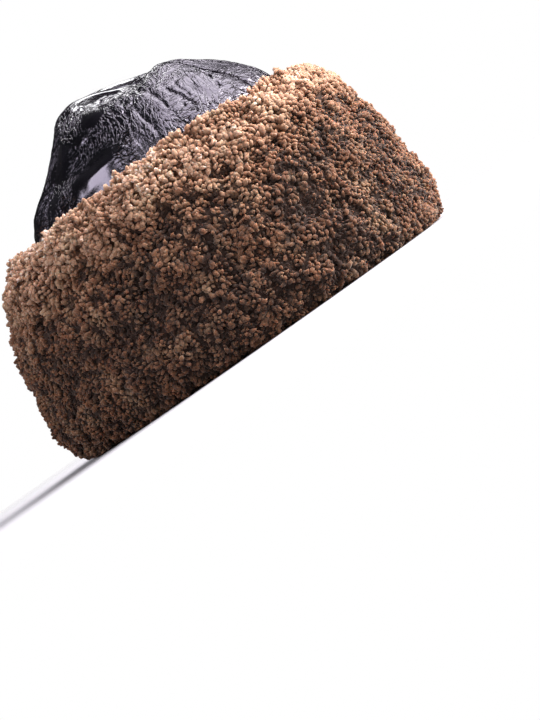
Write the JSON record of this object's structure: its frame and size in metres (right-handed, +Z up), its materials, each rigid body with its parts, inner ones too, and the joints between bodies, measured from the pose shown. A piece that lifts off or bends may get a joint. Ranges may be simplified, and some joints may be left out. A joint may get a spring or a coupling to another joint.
{
  "type": "fur hat",
  "caption": "Soft leather crown of wedge panels inside a deep turned-up cuff of curly sheepskin wool, with a band inside the rim.",
  "frame": {"origin": "centre of the head opening, on the surface that the hat rests on", "axes": "+Z up through the crown, -Y towards the front of the hat, -X towards the wearer's right"},
  "size_m": [0.2269, 0.259, 0.167],
  "materials": {
    "leather_black": "glossy, finely creased black",
    "wool_brown": "matte curly wool, light tips over dark roots",
    "lining_black": "matte black woven band"
  },
  "bodies": {
    "root": {"crown_right": "leather_black", "crown_back": "leather_black", "crown_left": "leather_black", "cuff": "wool_brown", "inner_band": "lining_black"}
  },
  "joints": []
}
